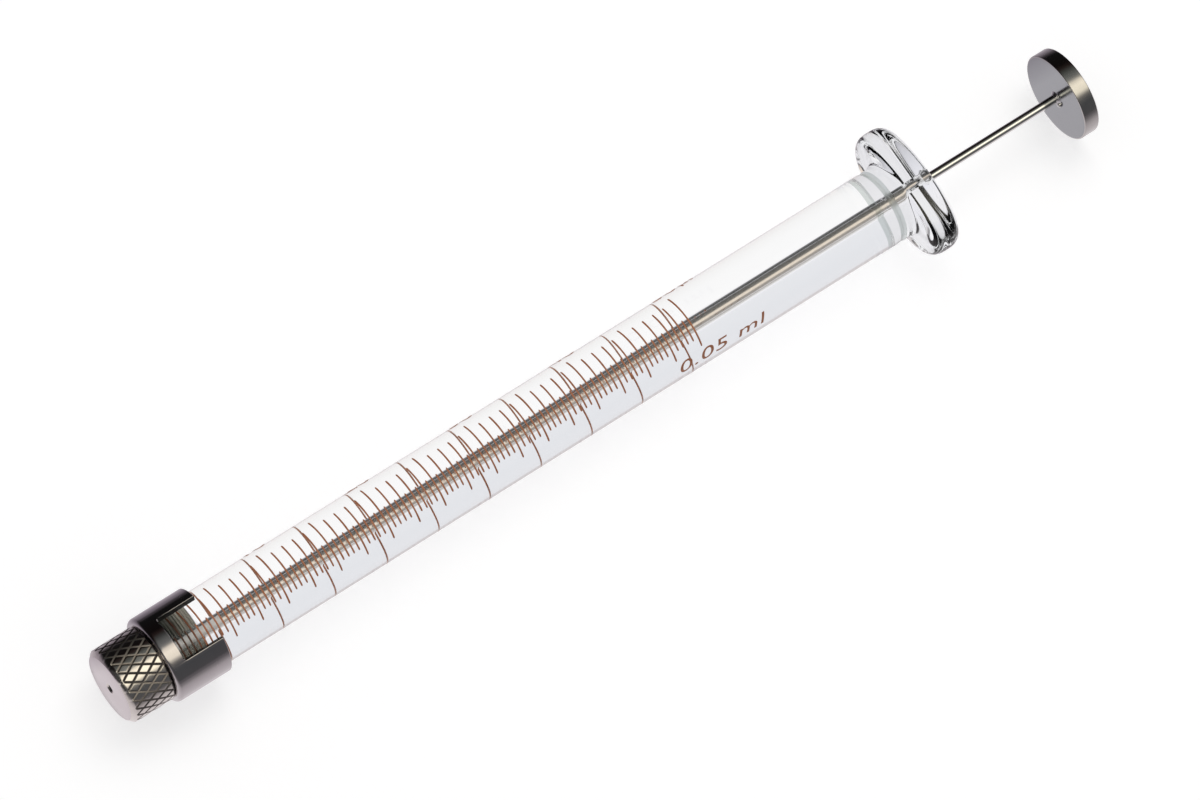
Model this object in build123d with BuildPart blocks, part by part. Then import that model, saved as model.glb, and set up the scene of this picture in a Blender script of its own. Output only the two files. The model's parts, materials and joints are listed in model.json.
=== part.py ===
"""Fifty microlitre glass microsyringe with a removable needle nut, plunger fully in.

The syringe lies along X: x = 0 is the front face of the needle nut, +X runs back to the thumb
button, and the bore's axis is y = z = 0. +Z is the front of the scale, square to the flats of the
finger flange. Angles round the axis are measured from +Z towards +Y. Millimetres throughout.
"""

from build123d import *
import math
import os

# Scale: the capacity and the length it is spread over set the bore
capacity_ul = 50.0
division_count = 100
division_pitch = 0.60
scale_length = division_count * division_pitch
bore_radius = math.sqrt(capacity_ul / (math.pi * scale_length))

# Glass barrel and its fused finger flange
barrel_radius = 3.85
tube_length = 85.60  # front face of the glass to the front of the flange
mouth_chamfer = 0.25  # at the button end of the bore
neck_width = 0.75
neck_depth = 0.20
neck_land = 1.15  # from the neck's groove to the flange
flange_half_length = 6.95
flange_half_width = 4.10
flange_tip_radius = 3.55
flange_thickness = 3.45
flange_edge_radius = 1.40

# Metal collar, cemented to the glass, with a threaded nose for the nut
cement_gap = 0.05
collar_wall = 0.60
collar_length = 5.95
collar_edge_radius = 0.50
collar_shoulder = 1.30  # metal in front of the glass
collar_radius = barrel_radius + cement_gap + collar_wall
window_half_angle = 32.7
window_start = 0.17  # behind the zero line
thread_radius = 3.00
nose_gap = 0.18  # between the seal's head and the nose
nose_chamfer = 0.25
seat_radius = 1.60

# Knurled nut that clamps a needle
thread_clearance = 0.05
nut_wall = 0.85
nut_length = 4.70
nut_front_wall = 1.25
nut_chamfer = 0.45
nut_radius = thread_radius + thread_clearance + nut_wall
nut_gap = 0.10  # between the nut and the collar
needle_hole_radius = 0.43
knurl_starts = 24
knurl_rows = 5  # half diamonds along the nut
knurl_depth = 0.26

# Needle seal, held by its head in the nut, with its stem against the glass
seal_clearance = 0.05
seal_head_thickness = 0.50
seal_head_clearance = 0.25
seal_head_radius = thread_radius + thread_clearance - seal_head_clearance
seal_hole_radius = 0.25
seal_funnel = 0.55  # widening of the hole at the front, to lead the needle in
seat_gap = 0.02

# Plunger
zero_offset = 0.14  # from the front face of the glass to the zero line
tip_clearance = 0.015
tip_length = 6.00
tip_chamfer = 0.10
wire_radius = 0.46
spigot_radius = 0.24
spigot_length = 3.30
spigot_gap = 0.02
tang_radius = 0.36  # the wire's turned-down end inside the button
wire_out = 16.55  # bare wire between the flange and the button when fully in
button_radius = 4.65
button_thickness = 1.70
button_edge_radius = 0.15
button_socket_depth = 1.20
solder_gap = 0.01
solder_leg = 0.30
bead_radius = 0.32
bead_sink = 0.06  # how far the bead sits into the wire
bead_angle = -103.0

# Fired-on graduation lines
ink_gap = 0.003
ink_thickness = 0.02
ink_width = 0.18
line_centre = 0.5  # where the half lines stop, just past the middle of the front
half_line_stop = -34.0
long_line_stop = 34.5
middle_line_stop = -47.0
full_line_stop = 47.0

# Places along the axis, worked out from the nut's front face
collar_front = nut_length + nut_gap
collar_back = collar_front + collar_length
seal_front = nut_front_wall + seat_gap
seal_head_back = seal_front + seal_head_thickness
nose_front = seal_head_back + nose_gap
glass_front = collar_front + collar_shoulder
scale_zero = glass_front + zero_offset
flange_front = glass_front + tube_length
flange_back = flange_front + flange_thickness
tip_back = scale_zero + tip_length
button_front = flange_back + wire_out
button_back = button_front + button_thickness


def radial_plane(angle):
    """Plane through the axis whose local y points outwards at this angle from +Z towards +Y."""
    turn = math.radians(angle)
    return Plane(origin=(0, 0, 0), x_dir=(1, 0, 0), z_dir=(0, -math.cos(turn), math.sin(turn)))


def knurled_ring(start, end, peak_radius, depth, starts, rows):
    """Closed ring of diamond points, with grooves that run both ways round it."""
    half_steps = 2 * starts
    row_length = (end - start) / rows

    def corner(row, step):
        radius = peak_radius - depth * ((row + step) % 2 == 0)
        turn = math.pi * (step % half_steps) / starts
        return (start + row * row_length, radius * math.sin(turn), radius * math.cos(turn))

    faces = []
    for row in range(rows):
        for step in range(half_steps):
            near, next_near = corner(row, step), corner(row, step + 1)
            far, next_far = corner(row + 1, step), corner(row + 1, step + 1)
            if (row + step) % 2 == 0:
                triangles = [(near, next_near, next_far), (near, next_far, far)]
            else:
                triangles = [(near, next_near, far), (next_near, next_far, far)]
            for points in triangles:
                faces.append(Face(Wire.make_polygon(points)))
    for row in (0, rows):
        rim = [corner(row, step) for step in range(half_steps)]
        faces.append(Face(Wire.make_polygon(rim)))
    return Solid(Shell(faces))


# Compression nut: knurled grip, polished chamfered nose, needle hole and a blind threaded bore
knurl = knurled_ring(nut_chamfer, nut_length, nut_radius, knurl_depth, knurl_starts, knurl_rows)
with BuildPart() as compression_nut:
    with BuildSketch(Plane.XZ):
        with BuildLine():
            Polyline(
                (0, 0),
                (0, nut_radius - nut_chamfer),
                (nut_chamfer, nut_radius),
                (nut_chamfer, 0),
                close=True,
            )
        make_face()
    revolve(axis=Axis.X)
    add(knurl)
    with BuildSketch(Plane.YZ.offset(nut_front_wall)):
        Circle(thread_radius + thread_clearance)
    extrude(amount=nut_length - nut_front_wall, mode=Mode.SUBTRACT)
    with BuildSketch(Plane.YZ):
        Circle(needle_hole_radius)
    extrude(amount=nut_front_wall, mode=Mode.SUBTRACT)
compression_nut.part.label = "compression_nut"

# Needle seal: a headed polymer bush with a through hole for the needle
with BuildPart() as needle_seal:
    with BuildSketch(Plane.XZ):
        with BuildLine():
            Polyline(
                (seal_front, seal_hole_radius + seal_funnel),
                (seal_front, seal_head_radius),
                (seal_head_back, seal_head_radius),
                (seal_head_back, seat_radius - seal_clearance),
                (glass_front - seat_gap, seat_radius - seal_clearance),
                (glass_front - seat_gap, seal_hole_radius),
                (seal_front + seal_funnel, seal_hole_radius),
                close=True,
            )
        make_face()
    revolve(axis=Axis.X)
needle_seal.part.label = "needle_seal"

# Hub collar: a turned cup over the end of the glass, with a nose for the nut and a front window
with BuildPart() as hub_collar:
    with BuildSketch(Plane.XZ):
        with BuildLine():
            Polyline(
                (nose_front, seat_radius),
                (nose_front, thread_radius - nose_chamfer),
                (nose_front + nose_chamfer, thread_radius),
                (collar_front, thread_radius),
                (collar_front, collar_radius),
                (collar_back, collar_radius),
                (collar_back, barrel_radius + cement_gap),
                (glass_front - cement_gap, barrel_radius + cement_gap),
                (glass_front - cement_gap, seat_radius),
                close=True,
            )
        make_face()
    revolve(axis=Axis.X)
    rims = hub_collar.edges().filter_by(GeomType.CIRCLE).filter_by(lambda e: e.radius > barrel_radius + collar_wall)
    fillet(rims.sort_by(Axis.X)[0], collar_edge_radius)
    with BuildSketch(radial_plane(window_half_angle)):
        with BuildLine():
            Polyline(
                (scale_zero + window_start, barrel_radius),
                (scale_zero + window_start, collar_radius + collar_wall),
                (collar_back + collar_wall, collar_radius + collar_wall),
                (collar_back + collar_wall, barrel_radius),
                close=True,
            )
        make_face()
    revolve(axis=Axis.X, revolution_arc=2 * window_half_angle, mode=Mode.SUBTRACT)
hub_collar.part.label = "hub_collar"

# Glass barrel: thick tube, a shallow neck, and a two-lobed finger flange fused on and fire polished
tip_centre = flange_half_length - flange_tip_radius
side_radius = (tip_centre**2 + flange_half_width**2 - flange_tip_radius**2) / (
    2 * (flange_half_width - flange_tip_radius)
)
side_centre = side_radius - flange_half_width
meet_y = side_radius * tip_centre / (side_radius - flange_tip_radius)
meet_z = side_radius * side_centre / (side_radius - flange_tip_radius) - side_centre
neck_back = flange_front - neck_land
with BuildPart() as glass_barrel:
    with BuildSketch(Plane.YZ.offset(flange_front)):
        with BuildLine():
            ThreePointArc((meet_y, meet_z), (0, flange_half_width), (-meet_y, meet_z))
            ThreePointArc((-meet_y, meet_z), (-flange_half_length, 0), (-meet_y, -meet_z))
            ThreePointArc((-meet_y, -meet_z), (0, -flange_half_width), (meet_y, -meet_z))
            ThreePointArc((meet_y, -meet_z), (flange_half_length, 0), (meet_y, meet_z))
        make_face()
    extrude(amount=flange_thickness)
    flange_rims = glass_barrel.faces().filter_by(Axis.X).edges()
    fillet(flange_rims, flange_edge_radius)
    with BuildSketch(Plane.YZ.offset(glass_front)):
        Circle(barrel_radius)
    extrude(amount=tube_length + flange_thickness / 2)
    with BuildSketch(Plane.XZ):
        with BuildLine():
            Polyline((neck_back - neck_width, barrel_radius), (neck_back, barrel_radius))
            RadiusArc(
                (neck_back, barrel_radius),
                (neck_back - neck_width, barrel_radius),
                -(neck_width**2 / (8 * neck_depth) + neck_depth / 2),
            )
        make_face()
    revolve(axis=Axis.X, mode=Mode.SUBTRACT)
    with BuildSketch(Plane.XZ):
        with BuildLine():
            Polyline(
                (glass_front, 0),
                (glass_front, bore_radius),
                (flange_back - mouth_chamfer, bore_radius),
                (flange_back, bore_radius + mouth_chamfer),
                (flange_back, 0),
                close=True,
            )
        make_face()
    revolve(axis=Axis.X, mode=Mode.SUBTRACT)
glass_barrel.part.label = "glass_barrel"


# Graduation lines: halves and units in front, fives all across the front and again at the back
fives = range(0, division_count + 1, 10)
middles = range(5, division_count + 1, 10)
units = [n for n in range(0, division_count + 1, 2) if n % 10]
halves = [n for n in range(1, division_count + 1, 2) if n % 5]
line_families = (
    (fives, middle_line_stop, full_line_stop),
    (fives, 180 + middle_line_stop, 180 + full_line_stop),
    (middles, middle_line_stop, line_centre),
    (units, half_line_stop, long_line_stop),
    (halves, half_line_stop, line_centre),
)
ink_middle = barrel_radius + ink_gap + ink_thickness / 2
with BuildPart() as graduation_lines:
    for divisions, start_angle, stop_angle in line_families:
        with BuildSketch(radial_plane(stop_angle)):
            with Locations(*[(scale_zero + n * division_pitch, ink_middle) for n in divisions]):
                Rectangle(ink_width, ink_thickness)
        revolve(axis=Axis.X, revolution_arc=stop_angle - start_angle)
graduation_lines.part.label = "graduation_lines"

# Plunger tip: a soft polymer plug with a blind hole that grips the wire's spigot
tip_radius = bore_radius - tip_clearance
with BuildPart() as plunger_tip:
    with BuildSketch(Plane.XZ):
        with BuildLine():
            Polyline(
                (scale_zero, 0),
                (scale_zero, tip_radius - tip_chamfer),
                (scale_zero + tip_chamfer, tip_radius),
                (tip_back, tip_radius),
                (tip_back, spigot_radius + spigot_gap),
                (tip_back - spigot_length - spigot_gap, spigot_radius + spigot_gap),
                (tip_back - spigot_length - spigot_gap, 0),
                close=True,
            )
        make_face()
    revolve(axis=Axis.X)
plunger_tip.part.label = "plunger_tip"

# Plunger wire: ground spigot in the tip, plain shank, turned-down tang in the button's socket
wire_back = button_front + button_socket_depth - spigot_gap
with BuildPart() as plunger_wire:
    with BuildSketch(Plane.XZ):
        with BuildLine():
            Polyline(
                (tip_back - spigot_length, 0),
                (tip_back - spigot_length, spigot_radius),
                (tip_back + spigot_gap, spigot_radius),
                (tip_back + spigot_gap, wire_radius),
                (button_front - solder_gap, wire_radius),
                (button_front - solder_gap, tang_radius),
                (wire_back, tang_radius),
                (wire_back, 0),
                close=True,
            )
        make_face()
    revolve(axis=Axis.X)
plunger_wire.part.label = "plunger_wire"

# Thumb button: a turned disc with a blind socket for the wire's tang
socket_radius = tang_radius + solder_gap
with BuildPart() as plunger_button:
    with BuildSketch(Plane.YZ.offset(button_front)):
        Circle(button_radius)
    extrude(amount=button_thickness)
    fillet(plunger_button.edges(), button_edge_radius)
    with BuildSketch(Plane.YZ.offset(button_front)):
        Circle(socket_radius)
    extrude(amount=button_socket_depth, mode=Mode.SUBTRACT)
plunger_button.part.label = "plunger_button"

# Solder at the root of the wire: a small fillet all round, with one bead that ran out
bead_turn = math.radians(bead_angle)
bead_reach = wire_radius + bead_radius - bead_sink
fillet_radius = wire_radius + solder_gap
with BuildPart() as button_solder:
    with BuildSketch(Plane.XZ):
        with BuildLine():
            Polyline(
                (button_front - solder_leg, fillet_radius),
                (button_front, fillet_radius + solder_leg),
                (button_front, fillet_radius),
                close=True,
            )
        make_face()
    revolve(axis=Axis.X)
    with Locations((button_front, bead_reach * math.sin(bead_turn), bead_reach * math.cos(bead_turn))):
        Sphere(bead_radius)
    split(bisect_by=Plane.YZ.offset(button_front), keep=Keep.BOTTOM)
    with BuildSketch(Plane.YZ.offset(button_front - bead_radius - solder_leg)):
        Circle(fillet_radius)
    extrude(amount=2 * (bead_radius + solder_leg), mode=Mode.SUBTRACT)
button_solder.part.label = "button_solder"

os.makedirs("parts", exist_ok=True)
for piece in (
    compression_nut,
    needle_seal,
    hub_collar,
    glass_barrel,
    graduation_lines,
    plunger_tip,
    plunger_wire,
    plunger_button,
    button_solder,
):
    export_step(piece.part, f"parts/{piece.part.label}.step")
    print(piece.part.label, piece.part.is_valid, round(piece.part.volume, 3), len(piece.part.solids()))
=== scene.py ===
"""Looks of a fifty microlitre glass microsyringe: pieces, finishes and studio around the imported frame.

The syringe lies along X with its needle nut at the origin and its scale facing +Z. Angles round the
axis are measured from +Z towards +Y. Lengths are in metres, and in millimetres where a name says so.
"""

import json
import math

import bmesh
import bpy
import numpy as np
from mathutils import Matrix, Vector


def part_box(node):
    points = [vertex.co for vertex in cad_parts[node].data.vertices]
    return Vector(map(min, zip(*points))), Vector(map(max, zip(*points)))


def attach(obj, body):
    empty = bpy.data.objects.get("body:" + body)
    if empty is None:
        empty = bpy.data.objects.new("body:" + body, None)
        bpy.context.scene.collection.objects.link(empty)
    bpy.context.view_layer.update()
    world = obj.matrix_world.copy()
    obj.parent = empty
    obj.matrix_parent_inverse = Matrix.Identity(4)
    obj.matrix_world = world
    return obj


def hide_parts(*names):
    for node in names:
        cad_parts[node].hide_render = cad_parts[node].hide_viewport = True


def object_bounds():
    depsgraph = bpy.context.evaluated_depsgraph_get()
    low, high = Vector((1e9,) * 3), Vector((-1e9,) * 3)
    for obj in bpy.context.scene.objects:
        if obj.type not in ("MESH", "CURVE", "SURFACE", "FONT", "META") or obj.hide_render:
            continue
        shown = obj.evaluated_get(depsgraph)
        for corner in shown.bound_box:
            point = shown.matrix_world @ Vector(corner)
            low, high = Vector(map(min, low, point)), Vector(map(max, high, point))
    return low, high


bl_info = {
    "name": "Glass microsyringe",
    "version": (1, 0, 0),
    "blender": (4, 5, 0),
    "location": "3D View > Sidebar > Microsyringe",
    "description": "Builds the pieces, finishes and studio of a glass microsyringe",
    "category": "Add Mesh",
}

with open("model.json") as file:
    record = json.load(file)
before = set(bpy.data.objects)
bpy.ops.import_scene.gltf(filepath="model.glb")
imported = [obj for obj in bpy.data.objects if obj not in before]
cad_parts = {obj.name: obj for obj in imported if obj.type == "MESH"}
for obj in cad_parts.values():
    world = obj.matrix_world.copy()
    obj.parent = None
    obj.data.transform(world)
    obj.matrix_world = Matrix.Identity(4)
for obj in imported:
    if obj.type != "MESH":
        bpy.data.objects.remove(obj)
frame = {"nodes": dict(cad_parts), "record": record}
cad_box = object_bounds()

MM = 0.001
# Points nearer to each other than this are welded
WELD = 2e-8
# Mesh steps round the collar and the glass, round the wire and its tip, and round the button
SMOOTH_STEPS, ROD_STEPS, BUTTON_STEPS = 240, 64, 192
# Divisions of the scale, and the microlitres that they measure
DIVISIONS, CAPACITY = 100, 50


def length_property(name, description, millimetres):
    """A length, given in millimetres and kept in metres."""
    return bpy.props.FloatProperty(
        name=name, description=description, default=millimetres * MM, unit="LENGTH", subtype="DISTANCE", precision=6
    )


def angle_property(name, description, degrees):
    """An angle, shown in degrees."""
    return bpy.props.FloatProperty(
        name=name, description=description, default=math.radians(degrees), unit="ROTATION", subtype="ANGLE"
    )


def place_property(name, description, default):
    """A point in metres."""
    return bpy.props.FloatVectorProperty(
        name=name, description=description, default=default, size=3, unit="LENGTH", subtype="TRANSLATION", precision=6
    )


def colour_property(name, description, default):
    """A linear colour."""
    return bpy.props.FloatVectorProperty(
        name=name, description=description, default=default, size=3, min=0.0, max=1.0, subtype="COLOR"
    )


def share_property(name, description, default):
    """A number from 0 to 1."""
    return bpy.props.FloatProperty(
        name=name, description=description, default=default, min=0.0, max=1.0, subtype="FACTOR"
    )


class NutSettings(bpy.types.PropertyGroup):
    """Sizes and colours of the knurled nut."""

    starts: bpy.props.IntProperty(name="Knurl starts", description="Grooves round the nut, each way", default=24)
    pitches: bpy.props.FloatProperty(name="Knurl pitches", description="Diamonds along the nut", default=2.6)
    steps: bpy.props.IntProperty(name="Steps", description="Mesh steps in each diamond, an even number", default=20)
    groove_share: share_property("Groove share", "Half a groove's width as a share of a diamond", 0.12)
    groove_depth: length_property("Groove depth", "Depth of the knurl's grooves", 0.06)
    chamfer: length_property("Front chamfer", "Width of the polished front chamfer", 0.45)
    hole_chamfer: length_property("Hole chamfer", "Width of the chamfer round the needle hole", 0.15)
    back_chamfer: length_property("Back chamfer", "Width of the chamfer at the back rim", 0.1)
    wall: length_property("Wall", "Metal outside the thread", 0.85)
    thread_pitch: length_property("Thread pitch", "Pitch of the nut's thread", 0.5)
    thread_depth: length_property("Thread depth", "Depth of the nut's thread", 0.14)
    plating: colour_property("Plating", "Colour of the bright plating", (0.66, 0.62, 0.59))
    facing: colour_property("Faced end", "Colour of the satin front face", (0.60, 0.55, 0.56))
    # The groove colour is painted shade: the knurl's grooves are made much darker than the plating, as if shade fell
    # in them.
    grooves: colour_property("Grooves", "Colour of the rolled grooves of the knurl", (0.22, 0.20, 0.19))


class CollarSettings(bpy.types.PropertyGroup):
    """Sizes and colours of the hub collar."""

    shoulder_width: length_property("Collar length", "Length of the plain collar behind the nose", 5.95)
    wall: length_property("Wall", "Metal outside the glass", 0.55)
    edge_radius: length_property("Edge radius", "Rounding of the front edge", 0.5)
    window_angle: angle_property("Window half angle", "From the middle of the front to the window's side", 32.7)
    window_start: length_property("Window start", "From the zero line back to the window's end", 0.17)
    corner_radius: length_property("Window corner", "Rounding of the window's two corners", 0.25)
    window_rim: length_property("Window rim", "Rounding of the window's outer edges", 0.09)
    nose_radius: length_property("Nose radius", "Crest of the nose's thread", 3.0)
    seat_radius: length_property("Seat radius", "Hole through the nose", 1.6)
    thread_pitch: length_property("Thread pitch", "Pitch of the nose's thread", 0.5)
    thread_depth: length_property("Thread depth", "Depth of the nose's thread", 0.22)
    ring_pitch: length_property("Ring pitch", "Spacing of the tool marks inside the collar", 0.3)
    ring_depth: length_property("Ring depth", "Depth of the tool marks inside the collar", 0.02)
    plating: colour_property("Plating", "Colour of the plating", (0.50, 0.47, 0.48))
    # The bored inside and the milled walls are painted shade: much darker than the plating, standing in for the shade
    # inside the collar and on the window's walls.
    bored: colour_property("Bored inside", "Colour of the bored inside", (0.22, 0.23, 0.21))
    milled: colour_property("Milled walls", "Colour of the window's milled side walls", (0.06, 0.06, 0.06))


class GlassSettings(bpy.types.PropertyGroup):
    """Sizes and tints of the glass barrel and its flange."""

    tube_radius: length_property("Tube radius", "Outside radius of the tube", 3.85)
    bore_radius: length_property("Bore radius", "Radius of the bore", 0.515)
    mouth_chamfer: length_property("Mouth chamfer", "Widening of the bore at the flange", 0.25)
    front_edge: length_property("Front edge", "Chamfer of the ground front end", 0.12)
    flange_width: length_property("Flange thickness", "Thickness of the finger flange along the tube", 3.45)
    flange_edge: length_property("Flange edge", "Rounding of the flange's long rims", 0.7)
    lobe_edge: length_property("Lobe edge", "Rounding of the rims at the flange's two ends", 1.2)
    flange_tip: length_property("Flange tip", "Radius of the flange's two lobes", 3.55)
    neck_land: length_property("Neck land", "From the neck's groove to the flange", 1.15)
    neck_width: length_property("Neck width", "Width of the neck's groove", 0.75)
    neck_depth: length_property("Neck depth", "Depth of the neck's groove", 0.1)
    waviness: length_property("Waviness", "How far the hand-formed flange strays", 0.05)
    tint: colour_property("Tint", "Colour of the glass", (0.985, 0.988, 0.995))
    # Painted shade: the neck band's grey-green colour darkens the glass at the neck groove, standing in for the dark
    # band the groove shows; its roughness frosts it.
    seam: colour_property("Seam", "Colour of the fused seam at the neck", (0.48, 0.53, 0.51))


class PrintSettings(bpy.types.PropertyGroup):
    """Sizes and colour of the fired-on scale."""

    line_width: length_property("Line width", "Width of a graduation line", 0.18)
    thickness: length_property("Thickness", "Thickness of the ink", 0.018)
    gap: length_property("Gap", "From the glass to the ink", 0.002)
    digit_height: length_property("Digit height", "Height of the numerals", 2.1)
    digit_angle: angle_property("Digit angle", "Where the numerals' feet stand", 64.5)
    digit_shift: length_property("Digit shift", "How far numerals stand behind their line", 0.4)
    unit_place: length_property("Unit place", "From the zero line to the unit", 62.0)
    capacity_height: length_property("Capacity height", "Height of the capacity's figures", 1.45)
    capacity_angle: angle_property("Capacity angle", "Where the capacity's feet stand", -73.5)
    capacity_place: length_property("Capacity place", "From the zero line to the capacity", 56.95)
    ink: colour_property("Ink", "Colour of the fired ink", (0.45, 0.17, 0.08))
    # The backed end and clear start place the ink's painted shade along the tube.
    backed_end: length_property("Backed end", "Where the ink is darkest, over the seat inside the collar", 8.3)
    clear_start: length_property("Clear start", "Where light comes through behind the ink", 9.2)


class PlungerSettings(bpy.types.PropertyGroup):
    """Sizes and colours of the plunger."""

    wire_radius: length_property("Wire radius", "Radius of the wire", 0.46)
    spigot_radius: length_property("Spigot radius", "Radius of the wire inside the tip", 0.24)
    spigot_length: length_property("Spigot length", "Length of the wire inside the tip", 3.3)
    tang_radius: length_property("Tang radius", "Radius of the wire inside the button", 0.36)
    button_edge: length_property("Button edge", "Rounding of the button's rims", 0.15)
    steel: colour_property("Steel", "Colour of the wire", (0.80, 0.79, 0.77))
    button: colour_property("Button face", "Colour of the button's matt face", (0.30, 0.31, 0.325))
    rim: colour_property("Button rim", "Colour of the button's polished rim", (0.50, 0.48, 0.47))
    tip: colour_property("Tip", "Colour of the polymer tip", (0.80, 0.78, 0.74))


class StudioSettings(bpy.types.PropertyGroup):
    """Camera, lamp, floor and painted reflections."""

    lens: bpy.props.FloatProperty(name="Lens", description="Focal length in millimetres", default=256.14)
    axis_tilt: angle_property("Axis tilt", "How far the syringe's axis leans away from the picture", 18.2)
    image_angle: angle_property("Image angle", "Angle of the syringe across the picture", 32.008)
    facing_turn: angle_property("Facing turn", "How far the scale is turned from the camera", 13.0)
    origin_seen: place_property(
        "Origin seen", "Where the camera has the nut's front face", (-45.649 * MM, -26.897 * MM, -795.217 * MM)
    )
    softbox_place: place_property("Softbox place", "Middle of the softbox", (0.35, 0.35, 0.9))
    softbox_length: length_property("Softbox length", "Along the syringe", 800.0)
    softbox_width: length_property("Softbox width", "Across the syringe", 600.0)
    softbox_power: bpy.props.FloatProperty(name="Softbox power", description="In watts", default=2.4)
    ambient: share_property("Ambient", "Light from all round on matt surfaces", 0.55)
    floor_glow: share_property("Floor glow", "Share of the floor's white that casts no light", 0.58)
    floor_colour: colour_property("Floor", "Colour of the floor", (0.70, 0.70, 0.71))


SETTINGS = {
    "nut": NutSettings,
    "collar": CollarSettings,
    "glass": GlassSettings,
    "print": PrintSettings,
    "plunger": PlungerSettings,
    "studio": StudioSettings,
}


def settings(part):
    """The scene's settings for one part of the syringe."""
    return getattr(bpy.context.scene, "microsyringe_" + part)


# Mesh helpers


def link_object(name, data):
    """A new object in the scene."""
    made = bpy.data.objects.new(name, data)
    bpy.context.scene.collection.objects.link(made)
    return made


def finish_mesh(name, mesh, materials, sharp_angle, soften=None):
    """Welds a mesh, closes its holes, points its faces outwards and links it as a piece."""
    work = bmesh.new()
    work.from_mesh(mesh)
    bmesh.ops.remove_doubles(work, verts=work.verts, dist=WELD)
    bmesh.ops.dissolve_degenerate(work, dist=WELD, edges=work.edges)
    rims = [edge for edge in work.edges if edge.is_boundary]
    if rims:
        bmesh.ops.holes_fill(work, edges=rims, sides=0)
    bmesh.ops.recalc_face_normals(work, faces=work.faces)
    if soften:
        soften(work)
    for face in work.faces:
        face.smooth = True
    for edge in work.edges:
        edge.smooth = edge.calc_face_angle(0.0) < sharp_angle
    work.to_mesh(mesh)
    work.free()
    for material in materials:
        mesh.materials.append(material)
    return link_object(name, mesh)


def turned(name, angles, columns, materials, loop=True, crossed=(0, 0), slot_rows=(), sharp=32.0, soften=None):
    """A piece turned about X whose profile may change with angle.

    columns holds one profile of (x, r) rows for each angle. loop joins a profile's last row to its
    first. Cells in the rows of crossed are split along alternating diagonals, and slot_rows gives
    (first row, last row, material slot).
    """
    profile = np.asarray(columns, float)
    count, rows = profile.shape[:2]
    turn = np.asarray(angles)[:, None]
    points = np.stack(
        [profile[..., 0], profile[..., 1] * np.sin(turn), profile[..., 1] * np.cos(turn)], axis=-1
    ).reshape(-1, 3)
    faces, slots = [], []
    for k in range(count):
        near, far = k * rows, (k + 1) % count * rows
        for i in range(rows if loop else rows - 1):
            j = (i + 1) % rows
            corners = (near + i, near + j, far + j, far + i)
            slot = next((s for first, last, s in slot_rows if first <= i < last), 0)
            if crossed[0] <= i < crossed[1]:
                a, b, c, d = corners
                split = ((a, b, c), (a, c, d)) if (k + i) % 2 else ((a, b, d), (b, c, d))
                faces.extend(split)
                slots.extend((slot, slot))
            else:
                faces.append(corners)
                slots.append(slot)
    mesh = bpy.data.meshes.new(name)
    mesh.from_pydata(points.tolist(), [], faces)
    mesh.polygons.foreach_set("material_index", slots)
    return finish_mesh(name, mesh, materials, math.radians(sharp), soften)


def even_angles(count):
    """Angles spread evenly round the axis."""
    return [2 * math.pi * k / count for k in range(count)]


def rounded(start, corner, end, radius, steps=6):
    """Points of the arc that rounds the corner between two straight runs of a profile."""
    corner, start, end = Vector(corner), Vector(start), Vector(end)
    back, on = (start - corner).normalized(), (end - corner).normalized()
    half = back.angle(on) / 2
    reach = radius / math.tan(half)
    centre = corner + (back + on).normalized() * radius / math.sin(half)
    first, last = corner + back * reach - centre, corner + on * reach - centre
    sweep = first.angle_signed(last)
    points = []
    for k in range(steps + 1):
        turn = -sweep * k / steps
        x = first.x * math.cos(turn) - first.y * math.sin(turn)
        y = first.x * math.sin(turn) + first.y * math.cos(turn)
        points.append((centre.x + x, centre.y + y))
    return points


def thread_wave(x, angle, pitch):
    """0 on a thread's crest and 1 at its root, for a right-handed thread about X."""
    overshoot, steepness = 1.6, 4.2
    phase = (x / pitch + angle / (2 * math.pi)) % 1.0
    return min(1.0, max(0.0, overshoot - abs(phase - 0.5) * steepness))


# Finishes


def empty_material(name):
    """A material with only an output in its node tree."""
    material = bpy.data.materials.new(name)
    material.use_nodes = True
    tree = material.node_tree
    tree.nodes.clear()
    return material, tree, tree.nodes.new("ShaderNodeOutputMaterial")


def new_finish(name):
    """A material whose output shows a Principled shader."""
    material, tree, output = empty_material(name)
    output.location = (300, 0)
    shader = tree.nodes.new("ShaderNodeBsdfPrincipled")
    feed(tree, output, Surface=shader.outputs["BSDF"])
    return material, tree, shader, output


def put(tree, socket, value):
    """Gives a socket a value, or a link if the value is another socket."""
    if isinstance(value, bpy.types.NodeSocket):
        tree.links.new(value, socket)
    else:
        socket.default_value = value


def feed(tree, node, **values):
    """Fills a node's inputs by name; _ stands for a space."""
    for name, value in values.items():
        put(tree, node.inputs[name.replace("_", " ")], value)


def math_node(tree, operation, first, second=0.0, third=0.0, clamp=False):
    """A Math node; each value is a number or a socket."""
    node = tree.nodes.new("ShaderNodeMath")
    node.operation, node.use_clamp = operation, clamp
    for socket, value in zip(node.inputs, (first, second, third)):
        put(tree, socket, value)
    return node.outputs[0]


def noise_node(tree, vector, scale, detail=3.0, dimensions="3D", roughness=0.5):
    """A Noise Texture's value; scale is in features per metre."""
    node = tree.nodes.new("ShaderNodeTexNoise")
    node.noise_dimensions = dimensions
    place = {"W" if dimensions == "1D" else "Vector": vector}
    feed(tree, node, **place, Scale=scale, Detail=detail, Roughness=roughness)
    return node.outputs["Fac"]


def range_node(tree, value, start, end, smooth=False):
    """0 at start and 1 at end of a value's range."""
    node = tree.nodes.new("ShaderNodeMapRange")
    node.interpolation_type = "SMOOTHSTEP" if smooth else "LINEAR"
    feed(tree, node, Value=value, From_Min=start, From_Max=end)
    return node.outputs["Result"]


def mix_node(tree, factor, first, second):
    """A colour between two others."""
    node = tree.nodes.new("ShaderNodeMix")
    node.data_type = "RGBA"
    feed(tree, node, Factor=factor, A=first, B=second)
    return node.outputs["Result"]


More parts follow.
